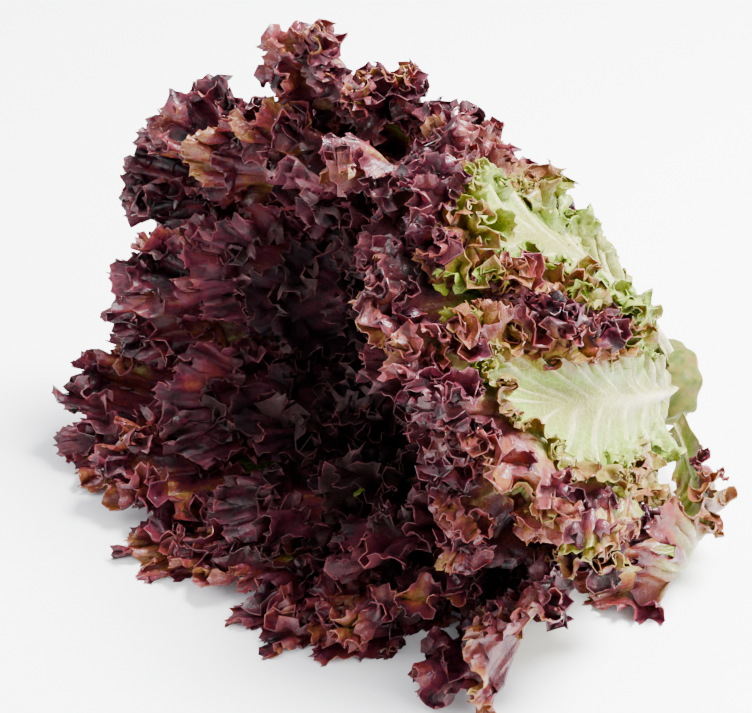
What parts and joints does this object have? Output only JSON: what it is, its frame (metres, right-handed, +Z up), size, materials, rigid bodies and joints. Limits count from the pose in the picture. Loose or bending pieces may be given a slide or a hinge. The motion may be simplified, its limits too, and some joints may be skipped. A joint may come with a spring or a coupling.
{
  "type": "lollo rosso lettuce head",
  "caption": "Whole frilled red lettuce head lying on its side: overlapping ruffled leaves fan from a short cut stem round a dark hollow heart, with one leaf spread back on the surface.",
  "frame": {"origin": "middle of the bounding box's base, on the surface that the head lies on", "axes": "+Z up; the mouth faces -X, turned 27 degrees towards -Y; the cut stem points to +X"},
  "size_m": [0.254, 0.2306, 0.174],
  "materials": {
    "leaf_outer": "fresh leaf: burgundy frilled margins on green blades, satin sheen",
    "leaf_inner": "fresh leaf: dark burgundy frills, satin sheen",
    "leaf_bronze": "fresh leaf: pale veined back, bronze and burgundy frills, satin sheen",
    "leaf_green": "fresh leaf: yellow-green blade with brick-red lobes, satin sheen",
    "stem": "pale cream stem with a flat cut end"
  },
  "bodies": {
    "root": {"leaf_outer_top": "leaf_outer", "leaf_outer_far_high": "leaf_outer", "leaf_outer_far_low": "leaf_outer", "leaf_outer_under_far": "leaf_outer", "leaf_outer_under_near": "leaf_outer", "leaf_outer_near_low": "leaf_outer", "leaf_outer_near": "leaf_bronze", "leaf_outer_crown": "leaf_bronze", "leaf_spread": "leaf_green", "leaf_second_top": "leaf_inner", "leaf_second_far_high": "leaf_inner", "leaf_second_far": "leaf_inner", "leaf_second_far_low": "leaf_inner", "leaf_second_under": "leaf_inner", "leaf_second_near_low": "leaf_inner", "leaf_second_near": "leaf_inner", "leaf_second_crown": "leaf_inner", "leaf_third_top": "leaf_inner", "leaf_third_far_high": "leaf_inner", "leaf_third_far_low": "leaf_inner", "leaf_third_under_far": "leaf_inner", "leaf_third_under_near": "leaf_inner", "leaf_third_near": "leaf_inner", "leaf_third_crown": "leaf_inner", "leaf_fourth_top": "leaf_inner", "leaf_fourth_far_high": "leaf_inner", "leaf_fourth_far_low": "leaf_inner", "leaf_fourth_under": "leaf_inner", "leaf_fourth_near": "leaf_inner", "leaf_heart_far": "leaf_inner", "leaf_heart_under": "leaf_inner", "leaf_heart_near": "leaf_inner", "stem": "stem"}
  },
  "joints": []
}
